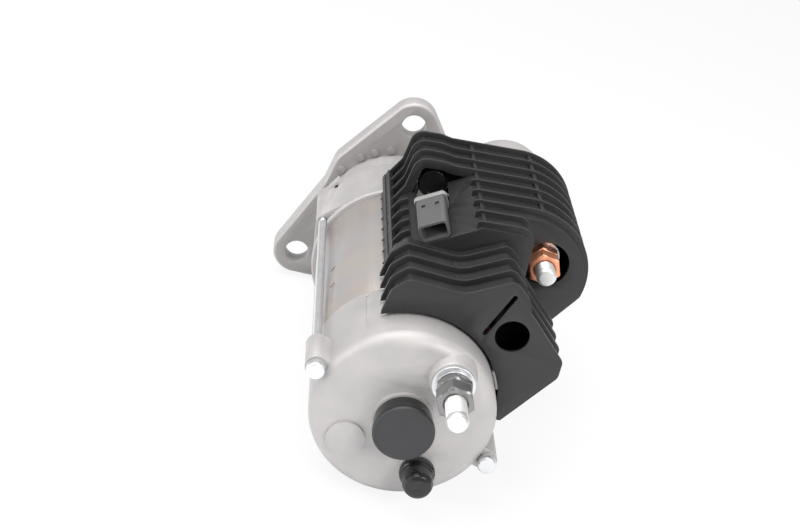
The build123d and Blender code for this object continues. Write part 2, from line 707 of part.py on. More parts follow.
slot_count = 19
with BuildPart() as armature_core:
    bar(core_front_depth, core_length, core_radius)
    with BuildSketch(across(core_front_depth - 1)) as slots:
        with PolarLocations(core_radius - 5, slot_count):
            Rectangle(9, 3.4)
        with PolarLocations(core_radius, slot_count):
            Rectangle(3, 1.6)
    extrude(slots.sketch, amount=core_length + 2, mode=Mode.SUBTRACT)
    bar(core_front_depth - 1, core_length + 2, shaft_radius + seat / 2, mode=Mode.SUBTRACT)

with BuildPart() as armature_winding:
    for end_depth in (core_front_depth - 9.1, core_front_depth + core_length + 0.1):
        turned([
            (shaft_radius + 6, end_depth), (core_radius - 3, end_depth + 1.5),
            (core_radius - 1.5, end_depth + 7.5),
            (core_radius - 2.5, end_depth + 9), (shaft_radius + 4, end_depth + 9),
        ])
    with BuildSketch(across(core_front_depth - 0.15)) as bars:
        with PolarLocations(core_radius - 5.0, slot_count):
            Rectangle(8.4, 2.9)
    extrude(bars.sketch, amount=core_length + 0.3)

segment_count = 27
with BuildPart() as commutator:
    bar(commutator_front, commutator_length, commutator_radius)
    bar(commutator_front, 4, commutator_radius + 3)
    with BuildSketch(across(commutator_front - 1)) as mica_slots:
        with PolarLocations(commutator_radius + 1.0, segment_count):
            Rectangle(4, 0.8)
    extrude(mica_slots.sketch, amount=commutator_length + 2, mode=Mode.SUBTRACT)
    bar(commutator_front - 1, commutator_length + 2, shaft_radius + seat / 2, mode=Mode.SUBTRACT)

# Rear end cover and its fittings
end_bore = yoke_radius - end_cover_wall
lug_front = yoke_rear + 26.7
lug_rear = cover_rear - 5.0
ground_stud_at = (21.5, 31.1)
drain_at = (14.2, -31.0)
blank_boss_at = (-29.2, -17.9)
end_fillet = 8.0
with BuildPart() as end_cover:
    bar(yoke_rear, end_cover_length, yoke_radius)
    fillet(faces().filter_by(Axis.Y).sort_by(Axis.Y)[0].edges(), radius=end_fillet)
    for angle in bolt_angles:
        bar(lug_front, lug_rear - lug_front, 6.6, polar(through_bolt_circle - 0.5, angle))
        block(lug_front, lug_rear - lug_front, 12, 13.2, polar(through_bolt_circle - 6.5, angle), angle)
    bar(cover_rear - 8, 8 + 1.6, 11.0, blank_boss_at)
    bar(cover_rear - 8, 8 + 2.5, 17.6)
    turned([
        (0, cover_rear - 6), (14.2, cover_rear - 6), (13.6, cover_rear), (12.6, cover_rear + 6.5),
        (0, cover_rear + 6.5),
    ], ground_stud_at)
    bar(cover_rear - 8, 8 + 1.5, 11.2, drain_at)
    bar(yoke_rear - 1, end_wall_front - yoke_rear + 1, end_bore, mode=Mode.SUBTRACT)
    bar(bearing_front, end_wall_front - bearing_front + 1, bearing_radius + 4)
    bar(bearing_front - 1, bearing_width + 1.5, bearing_radius + seat, mode=Mode.SUBTRACT)
    bar(bearing_front, 60, 12.5, mode=Mode.SUBTRACT)
    bar(end_wall_front - 20, 60, terminal_radius + seat, ground_stud_at, mode=Mode.SUBTRACT)
    bar(end_wall_front - 20, 60, 5.0, drain_at, mode=Mode.SUBTRACT)
    for angle in bolt_angles:
        bar(yoke_rear - 1, end_cover_length + 10, through_bolt_radius + 0.3, polar(through_bolt_circle, angle),
            mode=Mode.SUBTRACT)
        bar(lug_rear, 20, 5.8, polar(through_bolt_circle, angle), mode=Mode.SUBTRACT)
    block(yoke_rear + 4, 30, 1.2, 2.4, polar(yoke_radius + 0.2, 122), 122, mode=Mode.SUBTRACT)

with BuildPart() as through_bolts:
    for angle in bolt_angles:
        bolt_at = polar(through_bolt_circle, angle)
        bar(60, lug_rear - 60 + 1, through_bolt_radius, bolt_at)
        bar(lug_rear + 0.02, 1.2, 5.4, bolt_at)
        bar(lug_rear + 1, 5.0, 4.6, bolt_at)

with BuildPart() as rear_bearing:
    bar(bearing_front, bearing_width, bearing_radius, bore=bearing_radius - 2.4)
    bar(bearing_front, bearing_width, shaft_radius + 2.6, bore=shaft_radius + running)
    ball_radius = (bearing_radius - 2.4 - shaft_radius - 2.6) / 2 - 0.02
    ball_orbit = (bearing_radius - 2.4 + shaft_radius + 2.6) / 2
    for number in range(8):
        ball_at = polar(ball_orbit, 45 * number)
        with Locations((ball_at[0], -bearing_front - bearing_width / 2, ball_at[1])):
            Sphere(ball_radius)

with BuildPart() as bearing_cap:
    turned([
        (0, cover_rear - 3), (12.3, cover_rear - 3), (12.3, cover_rear + 2.6), (16.4, cover_rear + 2.6),
        (16.6, cover_rear + 10), (17.3, cover_rear + 11), (17.3, cover_rear + 14.2), (16.2, cover_rear + 15.4),
        (0, cover_rear + 15.4),
    ])

with BuildPart() as drain_cap:
    turned([
        (0, cover_rear - 4), (4.8, cover_rear - 4), (4.8, cover_rear + 1.6), (9.6, cover_rear + 1.6),
        (10.1, cover_rear + 3), (10.1, cover_rear + 6), (9.2, cover_rear + 7), (8.6, cover_rear + 15.5),
        (7.4, cover_rear + 18.2), (5.0, cover_rear + 19.2), (0, cover_rear + 19.6),
    ], drain_at)

ground_washer_front = cover_rear + 6.5
ground_nut_front = ground_washer_front + 4.6
ground_stud_rear = cover_rear + 47.0
ground_free_end = 18.9
with BuildPart() as ground_stud:
    bar(end_wall_front - 5.5, 5.4, terminal_radius + 1.0, ground_stud_at)
    bar(end_wall_front - 2, ground_stud_rear - ground_free_end - end_wall_front + 2, terminal_radius,
        ground_stud_at)
    bar(end_wall_front - 2, ground_stud_rear - end_wall_front + 2, free_end_radius, ground_stud_at)
    chamfer(faces().filter_by(Axis.Y).sort_by(Axis.Y)[0].edges(), length=3, length2=1.8)

with BuildPart() as ground_washers:
    bar(ground_washer_front + 0.02, 2.4, 12.0, ground_stud_at, bore=terminal_radius + 0.3)
    bar(ground_washer_front + 2.46, 2.1, 10.0, ground_stud_at, bore=terminal_radius + 0.3)

with BuildPart() as ground_nuts:
    hexagon(ground_nut_front, 5.6, nut_flats + 1, ground_stud_at, bore=terminal_radius + seat, turn=8)
    hexagon(ground_nut_front + 6.0, 10.0, nut_flats + 1, ground_stud_at, bore=terminal_radius + seat, turn=20)

# Brush gear
brush_angles = [90 * number for number in range(4)]
plate_depth = commutator_front + commutator_length + 1
with BuildPart() as brush_plate:
    bar(plate_depth, 2.5, end_bore - 0.3, bore=commutator_radius - 3)

holder_front = commutator_front + 5.5
holder_length = plate_depth - holder_front
with BuildPart() as brush_holders:
    for angle in brush_angles:
        block(holder_front, holder_length, 15, 13, polar(commutator_radius + 11, angle), angle)
        block(holder_front + 1.2, holder_length - 2.4, 30, 10.4, polar(commutator_radius + 11, angle), angle,
              mode=Mode.SUBTRACT)

with BuildPart() as brushes:
    for angle in brush_angles:
        block(holder_front + 1.3, holder_length - 2.6, 13, 10.2, polar(commutator_radius + 6.9, angle), angle)
    bar(commutator_front, commutator_length + 5, commutator_radius + 0.3, mode=Mode.SUBTRACT)

with BuildPart() as brush_springs:
    for angle in brush_angles:
        with BuildSketch(across(holder_front + 2, turn=angle)) as leaf:
            with BuildLine():
                Polyline(*[(commutator_radius + 13.8 + 1.1 * step, 3.2 * (-1) ** step) for step in range(8)])
            trace(line_width=0.5)
        extrude(leaf.sketch, amount=12)

# Relay and connector
relay_wall = 0.8
with BuildPart() as relay_can:
    bar(relay_front, relay_length, relay_radius, relay_axis)
    fillet(faces().filter_by(Axis.Y).sort_by(Axis.Y)[0].edges(), radius=1.5)
    bar(relay_front + relay_wall, relay_length - 2 * relay_wall, relay_radius - relay_wall, relay_axis,
        mode=Mode.SUBTRACT)

with BuildPart() as relay_coil:
    bar(relay_front + relay_wall + 0.3, relay_length - 2 * relay_wall - 8, relay_radius - relay_wall - 0.3,
        relay_axis, bore=3.4)

with BuildPart() as relay_plunger:
    bar(relay_front + 6, relay_length - 12.5, 3.3, relay_axis)
    bar(relay_front + relay_length - 6.6, 1.4, relay_radius - relay_wall - 0.6, relay_axis)

with BuildPart() as relay_bracket:
    bracket_angle = degrees(atan2(relay_z, relay_x))
    bracket_height = 2 * (hypot(relay_x, relay_z) - yoke_radius - 3)
    block(relay_front + 22, 12, bracket_height, 14, polar(yoke_radius, bracket_angle), bracket_angle)
    bar(relay_front, relay_length, relay_radius + 0.02, relay_axis, mode=Mode.SUBTRACT)
    bar(relay_front, relay_length, yoke_radius + 0.02, mode=Mode.SUBTRACT)

# The cover's inclined flat rises at the connector's tilt through this point
flat_foot = (-10.6, 62.0)
connector_foot = 21.0
connector_rear = first_fin + (tall_fins - 1) * fin_pitch + fin_thickness
connector_front = connector_rear - connector_length
along = (cos(radians(connector_tilt)), sin(radians(connector_tilt)))
normal = (-along[1], along[0])
connector_at = (
    flat_foot[0] + connector_foot * along[0] + (connector_height / 2 + 0.05) * normal[0],
    flat_foot[1] + connector_foot * along[1] + (connector_height / 2 + 0.05) * normal[1],
)
with BuildPart() as connector_shell:
    with BuildSketch(across(connector_front, connector_at, connector_tilt)) as connector_outline:
        RectangleRounded(connector_width, connector_height, 2.4)
    extrude(connector_outline.sketch, amount=connector_length)
    with BuildSketch(across(connector_front - 1.2, connector_at, connector_tilt)) as connector_collar:
        RectangleRounded(connector_width + 2.4, connector_height, 2.4)
    extrude(connector_collar.sketch, amount=5.0)
    with BuildSketch(across(connector_front + 16, connector_at, connector_tilt)) as socket:
        RectangleRounded(connector_width - 2 * connector_wall, connector_height - 2 * connector_wall, 1.6)
    extrude(socket.sketch, amount=connector_length, mode=Mode.SUBTRACT)
    for side in (-4.2, 4.2):
        latch = (connector_at[0] + side * along[0] + connector_height / 2 * normal[0],
                 connector_at[1] + side * along[1] + connector_height / 2 * normal[1])
        block(connector_front + 12, 3.4, 2.4, 3 * connector_wall - 0.6, latch, connector_tilt,
              mode=Mode.SUBTRACT)
    for side in (-3.4, 3.4):
        pin_at = (connector_at[0] + side * along[0], connector_at[1] + side * along[1])
        block(connector_front + 5, 30, 1.6, 1.6, pin_at, connector_tilt, mode=Mode.SUBTRACT)

with BuildPart() as connector_pins:
    for side in (-3.4, 3.4):
        pin_at = (connector_at[0] + side * along[0], connector_at[1] + side * along[1])
        block(connector_front + 5.05, 24, 1.5, 1.5, pin_at, connector_tilt)


# Finned cover
left_foot = (-21.7, 44.0)
left_wall = (-20.4, 50.0)
left_ties = ((-15.2, 56.3), (-17.2, 52.6))
under_yoke = (0.0, 20.0)
flat_stub = 6.0
flat_end = 29.0
tall_side = 64.0
skirt_bottom = -6.0
tie_width = 2.2


def fin_depth(number):
    """Front face of a fin, counted from 0 at the drive end."""
    return first_fin + number * fin_pitch


def wide_side():
    """Over the solenoid, round it, and straight down past the skirt's tip."""
    radius = cover_top - solenoid_z
    around = polar(radius, -15, solenoid_axis)
    ThreePointArc(polar(radius, 90, solenoid_axis), polar(radius, 40, solenoid_axis), around)
    Polyline(around, (70, -16), (40, -16), under_yoke, left_foot)


def incline():
    """Corner points of the left wall and the incline beside the connector."""
    rise = (flat_foot[0] + fin_height * normal[0], flat_foot[1] + fin_height * normal[1])
    return [left_foot, left_wall, rise, (rise[0] + (cover_top - rise[1]) * along[0] / along[1], cover_top)]


def cover_outline(number):
    """Outer outline of the cover at a fin: hood, wide, tall or low."""
    if number < hood_fins:
        FilletPolyline(left_foot, left_wall, (-8.6, 68.6), (-4.6, 89.8), (13.5, 89.8), (20, cover_top),
                       (solenoid_x, cover_top), radius=[1, 4, 9, 9, 5])
        wide_side()
    elif number < wide_fins:
        FilletPolyline(*incline(), (solenoid_x, cover_top), radius=[1, 7, 5])
        wide_side()
    elif number < tall_fins:
        FilletPolyline(*incline(), (tall_side, cover_top), (tall_side, 24), (50, -14), radius=[1, 7, 5, 9, 4])
        Polyline((50, -14), under_yoke, left_foot)
    else:
        FilletPolyline(left_foot, (-21.9, 52), (-19, 65.5), (-10.5, 73.6), (21, 70.2), (47.5, 83), (57, 73.5),
                       (60.5, 64.5), (84.5, 38), (84.3, 27.5), (50, -17), radius=[2, 5, 6, 20, 6, 4, 4, 4, 6])
        Polyline((50, -17), under_yoke, left_foot)


def cover_section(number, depth, inset=0.0, window=False):
    """The cover's outline at a depth, moved inwards; a window clears the flat beside the connector."""
    with BuildSketch(across(depth)) as section:
        with BuildLine():
            cover_outline(number)
        make_face()
        if inset:
            offset(amount=-inset, kind=Kind.INTERSECTION, mode=Mode.REPLACE)
        if window:
            stub_end = (flat_foot[0] + flat_stub * along[0], flat_foot[1] + flat_stub * along[1])
            with BuildLine():
                Polyline(
                    (stub_end[0] - 3 * normal[0], stub_end[1] - 3 * normal[1]),
                    (stub_end[0] + 30 * normal[0], stub_end[1] + 30 * normal[1]),
                    (flat_end, 110), (flat_end, 70), close=True,
                )
            make_face(mode=Mode.SUBTRACT)
    return section.sketch


def slit(depth, first, last, width, length):
    """Round-ended slot through a plate between two points."""
    with BuildSketch(across(depth)) as opening:
        SlotCenterToCenter(hypot(last[0] - first[0], last[1] - first[1]), width,
                           rotation=degrees(atan2(last[1] - first[1], last[0] - first[0])))
    middle = ((first[0] + last[0]) / 2, (first[1] + last[1]) / 2)
    extrude(Pos(middle[0], 0, middle[1]) * opening.sketch, amount=length, mode=Mode.SUBTRACT)


last_fin = fin_count - 1
hollow = fin_height + cover_wall
# Where the outline steps in, the shell runs on behind the fin and a plate closes it
step_length = {wide_fins - 1: 7.2, tall_fins - 1: 2.0}
plate_thickness = 1.8
with BuildPart() as solenoid_cover:
    for number in range(fin_count):
        beside_connector = hood_fins <= number < tall_fins
        extrude(cover_section(number, fin_depth(number), window=beside_connector), amount=fin_thickness)
    for number in range(last_fin):
        base_front = fin_depth(number) + fin_thickness / 2
        extrude(cover_section(number + 1, base_front, inset=fin_height), amount=fin_pitch)
        if number in step_length:
            step_amount = fin_thickness / 2 + step_length[number]
            extrude(cover_section(number, base_front, inset=fin_height), amount=step_amount)
    for number in range(last_fin):
        fin_rear = fin_depth(number) + fin_thickness
        if number:
            beyond = step_length.get(number, plate_thickness) - plate_thickness
            extrude(cover_section(number, fin_depth(number) - 0.1, inset=hollow),
                    amount=fin_thickness + beyond + 0.1, mode=Mode.SUBTRACT)
        extrude(cover_section(number + 1, fin_rear, inset=hollow), amount=fin_pitch - fin_thickness,
                mode=Mode.SUBTRACT)
    # Ties down the left side, then clear of the collar, the yoke, the solenoid and below the skirt
    bars_front = fin_depth(0) + fin_thickness / 2
    for tie_at in left_ties:
        block(bars_front, last_fin * fin_pitch, 3.2, 2 * tie_width, tie_at, -20)
    collar_gap = 0.6
    bar(first_fin - 1, yoke_front + 2 - first_fin, collar_rear_radius + collar_gap, mode=Mode.SUBTRACT)
    extrude(swelled_collar(first_fin - 1, collar_gap), amount=yoke_front + 2 - first_fin, mode=Mode.SUBTRACT)
    bar(yoke_front, cover_rear - yoke_front, yoke_radius + cover_gap, mode=Mode.SUBTRACT)
    bar(first_fin - 1, 4, solenoid_radius + 0.8, solenoid_axis, mode=Mode.SUBTRACT)
    block(first_fin - 1, 200, 200, 60, (60, skirt_bottom - 30), mode=Mode.SUBTRACT)
    # Openings for the two terminals, recess ahead of the connector, holes in the rear plates
    step_rear = fin_depth(wide_fins - 1) + fin_thickness + step_length[wide_fins - 1]
    bar(step_rear - 4, 6, 14.5, (79, 57), mode=Mode.SUBTRACT)
    bar(fin_depth(wide_fins - 1) - 1, 16, 12.0, motor_terminal, mode=Mode.SUBTRACT)
    recess_front = fin_depth(hood_fins - 1) + fin_thickness
    block(recess_front, connector_front - 1.5 - recess_front, connector_width + 3, 24, connector_at,
          connector_tilt, mode=Mode.SUBTRACT)
    bar(fin_depth(last_fin) - 1, fin_thickness + 2, 9.8, (52.7, 49.1), mode=Mode.SUBTRACT)
    slit(fin_depth(last_fin) - 1, (37.2, 48.5), (48.8, 73.2), 2.8, fin_thickness + 2)
    # Tie bars across the fins
    block(bars_front, (tall_fins - 1) * fin_pitch, tie_width, 2.2, (33.5, cover_top - 3.0))
    block(bars_front, (wide_fins - 1) * fin_pitch, tie_width, 2.6, (71.8, cover_top - 3.4))

clip_angle = 21.8
with BuildPart() as cover_clip:
    sector(fin_depth(last_fin) + fin_thickness - 14, 15.5, yoke_radius + cover_gap - 0.05,
           yoke_radius + 0.3, 12, clip_angle)

pieces = {
    "drive_housing": drive_housing, "nose_seal": nose_seal, "needle_bearing": needle_bearing, "pinion": pinion,
    "clutch_shell": clutch_shell, "clutch_rollers": clutch_rollers, "planet_carrier": planet_carrier,
    "planet_pins": planet_pins, "ring_gear": ring_gear, "sun_gear": sun_gear, "support_plate": support_plate,
    "gear_cover_plate": gear_cover_plate, "shift_lever": shift_lever, "lever_pin": lever_pin,
    "solenoid_case": solenoid_case, "solenoid_bobbin": solenoid_bobbin, "solenoid_coil": solenoid_coil,
    "solenoid_core": solenoid_core, "plunger": plunger, "return_spring": return_spring,
    "contact_bridge": contact_bridge, "solenoid_cap": solenoid_cap, "battery_stud": battery_stud,
    "motor_stud": motor_stud, "battery_washer": battery_washer, "battery_nuts": battery_nuts,
    "motor_nut": motor_nut, "motor_strap": motor_strap, "strap_grommet": strap_grommet, "solenoid_screws": solenoid_screws,
    "yoke": yoke,
    "pole_shoes": pole_shoes, "field_coils": field_coils, "armature_shaft": armature_shaft,
    "armature_core": armature_core, "armature_winding": armature_winding, "commutator": commutator,
    "end_cover": end_cover, "through_bolts": through_bolts, "rear_bearing": rear_bearing,
    "bearing_cap": bearing_cap, "drain_cap": drain_cap, "ground_stud": ground_stud,
    "ground_washers": ground_washers, "ground_nuts": ground_nuts, "brush_plate": brush_plate,
    "brush_holders": brush_holders, "brushes": brushes, "brush_springs": brush_springs, "relay_can": relay_can,
    "relay_coil": relay_coil, "relay_plunger": relay_plunger, "relay_bracket": relay_bracket,
    "connector_shell": connector_shell, "connector_pins": connector_pins, "solenoid_cover": solenoid_cover,
    "cover_clip": cover_clip,
}
for number, planet in enumerate(planet_gears):
    pieces[f"planet_gear_{number + 1}"] = planet

os.makedirs("parts", exist_ok=True)
for name, piece in pieces.items():
    piece.part.label = name
    export_step(piece.part, f"parts/{name}.step")
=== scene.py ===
import json
from math import pi, radians

import bmesh
import bpy
import numpy as np
from mathutils import Matrix, Vector


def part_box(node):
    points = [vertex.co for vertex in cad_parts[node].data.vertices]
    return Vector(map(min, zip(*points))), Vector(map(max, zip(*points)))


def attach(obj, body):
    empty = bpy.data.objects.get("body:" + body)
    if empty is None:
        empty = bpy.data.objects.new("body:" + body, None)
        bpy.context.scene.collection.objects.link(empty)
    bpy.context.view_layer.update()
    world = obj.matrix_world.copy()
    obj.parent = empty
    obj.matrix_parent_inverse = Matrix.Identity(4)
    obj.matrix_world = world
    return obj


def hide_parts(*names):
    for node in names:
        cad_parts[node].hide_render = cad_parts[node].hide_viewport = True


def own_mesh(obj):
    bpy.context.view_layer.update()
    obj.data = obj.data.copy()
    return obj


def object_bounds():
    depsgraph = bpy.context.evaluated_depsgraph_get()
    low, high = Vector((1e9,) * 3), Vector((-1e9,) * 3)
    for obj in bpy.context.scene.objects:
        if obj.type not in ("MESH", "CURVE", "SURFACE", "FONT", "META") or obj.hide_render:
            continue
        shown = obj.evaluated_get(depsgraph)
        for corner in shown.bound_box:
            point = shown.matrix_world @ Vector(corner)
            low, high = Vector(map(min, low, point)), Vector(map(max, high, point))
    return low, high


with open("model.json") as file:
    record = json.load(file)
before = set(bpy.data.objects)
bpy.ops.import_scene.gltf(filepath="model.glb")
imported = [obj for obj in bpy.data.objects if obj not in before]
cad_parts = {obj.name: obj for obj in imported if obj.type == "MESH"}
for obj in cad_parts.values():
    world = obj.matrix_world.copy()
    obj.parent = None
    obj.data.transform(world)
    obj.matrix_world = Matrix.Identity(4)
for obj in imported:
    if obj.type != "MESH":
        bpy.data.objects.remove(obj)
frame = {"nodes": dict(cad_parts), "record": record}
cadLow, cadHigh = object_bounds()
nodes = frame["nodes"]
bodies = frame["record"]["behaviour"]["bodies"]
bodyOf = {node: body for body, members in bodies.items() for node in members}
slotOf = {part["node"]: part["material_slot"] for part in frame["record"]["subparts"]}
print("frame loaded:", len(nodes), "nodes")


# Shader maths: a wire is a socket that adds, multiplies and mixes like a number
class Wire:
    def __init__(self, board, socket):
        self.board, self.socket = board, socket

    def _do(self, operation, *terms):
        return self.board.node("ShaderNodeMath", {"operation": operation}, dict(enumerate(terms)))

    def __add__(self, other): return self._do("ADD", self, other)
    def __radd__(self, other): return self._do("ADD", other, self)
    def __sub__(self, other): return self._do("SUBTRACT", self, other)
    def __rsub__(self, other): return self._do("SUBTRACT", other, self)
    def __mul__(self, other): return self._do("MULTIPLY", self, other)
    def __rmul__(self, other): return self._do("MULTIPLY", other, self)
    def __gt__(self, other): return self._do("GREATER_THAN", self, other)
    def __lt__(self, other): return self._do("LESS_THAN", self, other)


class Board:
    # one material's node tree; node() makes any node: its settings first, then its sockets' values or wires
    def __init__(self, name):
        self.material = bpy.data.materials.new(name)
        self.material.use_nodes = True
        self.tree = self.material.node_tree
        self.tree.nodes.clear()
        self.place = self.node("ShaderNodeTexCoord", output="Object")

    def node(self, kind, settings=None, sockets=None, output=0):
        made = self.tree.nodes.new(kind)
        for key, value in (settings or {}).items():
            if key == "stops":
                ramp = made.color_ramp
                while len(ramp.elements) < len(value):
                    ramp.elements.new(1.0)
                for element, (at, tone) in zip(ramp.elements, value):
                    element.position = at
                    element.color = tone if len(tone) == 4 else (*tone, 1)
            else:
                setattr(made, key, value)
        for key, value in (sockets or {}).items():
            if isinstance(value, Wire):
                self.tree.links.new(value.socket, made.inputs[key])
            else:
                made.inputs[key].default_value = value
        return Wire(self, made.outputs[output]) if made.outputs else made

    def noise(self, scale, detail=3.0, roughness=0.55, at=None):
        return self.node("ShaderNodeTexNoise", {}, {
            "Vector": at or self.place, "Scale": scale, "Detail": detail, "Roughness": roughness})

    def stretched(self, amounts):
        return self.node("ShaderNodeMapping", {"vector_type": "POINT"}, {"Vector": self.place, "Scale": amounts})

    def ramp(self, factor, *stops):
        return self.node("ShaderNodeValToRGB", {"stops": stops}, {"Fac": factor})

    def blend(self, factor, first, second):
        return self.node("ShaderNodeMix", {"data_type": "RGBA"}, {0: factor, 6: first, 7: second}, output=2)

    def depth(self):
        # distance behind the mounting face, from the piece's own place
        return 0 - self.node("ShaderNodeSeparateXYZ", {}, {"Vector": self.place}, output=1)

    def bump(self, height, depth, strength=1.0, under=None):
        sockets = {"Height": height, "Distance": depth, "Strength": strength}
        if under:
            sockets["Normal"] = under
        return self.node("ShaderNodeBump", {}, sockets)

    def finish(self, **sockets):
        sockets = {key.replace("_", " "): value for key, value in sockets.items()}
        shader = self.node("ShaderNodeBsdfPrincipled", {}, sockets)
        self.node("ShaderNodeOutputMaterial", {}, {"Surface": shader})
        return self.material


def grey(level, tint=(1.0, 1.0, 1.0)):
    return tuple(level * part for part in tint) + (1.0,)


castSettings = {
    "tone": 0.53, "tint": (1.0, 0.955, 0.935), "grain": 1500.0, "grainDepth": 0.00010, "blotch": 42.0,
    "flangeRearShadeBand": (0.0126, 0.0145),
}


def castAluminium(name, tone, shade, metal=0.30):
    # sand-cast skin: fine grain and pits, slow blotches of tone; painted shade darkens the flange's rear face
    board = Board(name)
    grain = board.noise(castSettings["grain"], 4, 0.7)
    pits = board.node("ShaderNodeTexVoronoi", {"feature": "F1"}, {"Vector": board.place, "Scale": 620.0})
    blotch = board.noise(castSettings["blotch"], 5, 0.6)
    streak = board.noise(11.0, 2, 0.5, board.stretched((1, 0.35, 1)))
    light = grey(tone, castSettings["tint"])
    dark = grey(tone * shade, (1.0, 0.965, 0.955))
    colour = board.blend(board.ramp(blotch, (0.32, (0, 0, 0)), (0.66, (1, 1, 1))), dark, light)
    colour = board.blend((1 - grain) * 0.30, colour, grey(tone * 0.55, (1.0, 0.96, 0.92)))
    # painted shade: a band of depth on the flange's rear face is darkened in the colour
    bandStart, bandEnd = castSettings["flangeRearShadeBand"]
    flangeRearShade = (board.depth() > bandStart) * (board.depth() < bandEnd)
    colour = board.blend(flangeRearShade * 0.75, colour, grey(tone * 0.60, (1.0, 0.955, 0.935)))
    relief = board.bump(grain, castSettings["grainDepth"], 0.6)
    relief = board.bump(pits, 0.00012, 0.3, relief)
    return board.finish(Base_Color=colour, Metallic=metal, Normal=relief,
                        Roughness=0.40 + blotch * 0.16 + streak * 0.08)


def yokePaint():
    # drawn steel tube under a thin warm varnish: turning lines round it, soft coloured clouds
    board = Board("yokeFinish")
    lathe = board.noise(60.0, 4, 0.6, board.stretched((0.4, 30.0, 0.4)))
    cloud = board.noise(16.0, 4, 0.55)
    hue = board.noise(26.0, 2, 0.5)
    speck = board.noise(2200.0, 2, 0.5)
    clouded = board.ramp(cloud, (0.3, (0, 0, 0)), (0.7, (1, 1, 1)))
    colour = board.blend(clouded, (0.40, 0.375, 0.362, 1), (0.50, 0.475, 0.452, 1))
    warmth = board.ramp(hue, (0.28, (0.42, 0.46, 0.50)), (0.46, (0.50, 0.44, 0.42)),
                        (0.58, (0.54, 0.45, 0.36)), (0.74, (0.46, 0.44, 0.42)))
    colour = board.blend(0.35, colour, warmth)
    colour = board.blend(lathe * 0.16, colour, (0.30, 0.285, 0.275, 1))
    relief = board.bump(lathe, 0.00006, 0.35)
    relief = board.bump(speck, 0.00004, 0.3, relief)
    return board.finish(Base_Color=colour, Metallic=0.45, Normal=relief,
                        Roughness=0.30 + cloud * 0.12 + lathe * 0.06)


def platedSteel(name, tone, rough, tint=(1.0, 1.0, 1.01)):
    # plated steel: faint drag marks and a slightly cloudy passivation
    board = Board(name)
    cloud = board.noise(120.0, 3, 0.6)
    scratch = board.noise(900.0, 3, 0.6, board.stretched((1, 0.12, 1)))
    speck = board.noise(3200.0, 2, 0.5)
    colour = board.blend(cloud, grey(tone * 0.80, tint), grey(tone, tint))
    relief = board.bump(scratch, 0.00005, 0.35)
    relief = board.bump(speck, 0.00003, 0.3, relief)
    return board.finish(Base_Color=colour, Metallic=0.85, Normal=relief,
                        Roughness=rough + cloud * 0.14 + scratch * 0.05)


def mouldedPlastic(name, tone, rough, tint=(1.0, 0.98, 1.0), grain=2600.0, paleFrom=None, paleTo=None):
    # spark-eroded mould texture, flow clouds and a little dust; a pale band where it is asked for
    board = Board(name)
    texture = board.noise(grain, 3, 0.6)
    cloud = board.noise(28.0, 4, 0.6)
    dust = board.noise(420.0, 4, 0.75)
    colour = board.blend(cloud, grey(tone * 0.80, tint), grey(tone * 1.15, tint))
    dusty = board.ramp(dust, (0.60, (0, 0, 0)), (0.80, (0.22, 0.22, 0.22)))
    colour = board.blend(dusty, colour, grey(tone * 2.6, tint))
    if paleFrom is not None:
        band = (board.depth() > paleFrom) * (board.depth() < paleTo)
        colour = board.blend(band, colour, (0.30, 0.30, 0.29, 1))
    relief = board.bump(texture, 0.00006, 0.45)
    return board.finish(Base_Color=colour, Roughness=rough + cloud * 0.12 + texture * 0.06, Normal=relief)


def copperMetal(name, tone, rough):
    # bare copper with turned marks and patches of brown tarnish
    board = Board(name)
    cloud = board.noise(150.0, 4, 0.6)
    turned = board.noise(700.0, 3, 0.55, board.stretched((1, 4, 1)))
    bright = (0.86 * tone, 0.42 * tone, 0.26 * tone, 1)
    dull = (0.66 * tone, 0.27 * tone, 0.15 * tone, 1)
    colour = board.blend(board.ramp(cloud, (0.3, (0, 0, 0)), (0.7, (1, 1, 1))), dull, bright)
    return board.finish(Base_Color=colour, Metallic=0.85, Roughness=rough + cloud * 0.18,
                        Normal=board.bump(turned, 0.00005, 0.4))


def glossBlack(name="glossBlackFinish", faceFrom=None):
    # glossy black moulding; from a depth on, its end disc is a satin dark grey
    board = Board(name)
    cloud = board.noise(90.0, 3, 0.6)
    dust = board.noise(900.0, 3, 0.7)
    dusty = board.ramp(dust, (0.62, (0, 0, 0)), (0.8, (0.15, 0.15, 0.15)))
    colour = board.blend(dusty, grey(0.010), grey(0.08))
    rough = 0.14 + cloud * 0.16
    if faceFrom is not None:
        face = board.depth() > faceFrom
        colour = board.blend(face, colour, grey(0.030, (1.0, 0.98, 1.04)))
        rough = rough + face * 0.30
    return board.finish(Base_Color=colour, Roughness=rough, Normal=board.bump(dust, 0.00003, 0.3))


def enamelWire():
    board = Board("enamelWire")
    turns = board.node("ShaderNodeTexWave", {"bands_direction": "Y"},
                       {"Vector": board.place, "Scale": 260.0, "Distortion": 0.6})
    cloud = board.noise(80.0, 3, 0.6)
    colour = board.blend(turns, (0.16, 0.055, 0.025, 1), (0.62, 0.26, 0.12, 1))
    return board.finish(Base_Color=colour, Metallic=0.5, Roughness=0.28 + cloud * 0.15,
                        Normal=board.bump(turns, 0.0004, 0.6))


def softRubber():
    board = Board("rubberFinish")
    texture = board.noise(1800.0, 4, 0.7)
    cloud = board.noise(60.0, 3, 0.6)
    return board.finish(Base_Color=board.blend(cloud, grey(0.02), grey(0.045)), Roughness=0.62 + texture * 0.2,
                        Normal=board.bump(texture, 0.0001, 0.5))


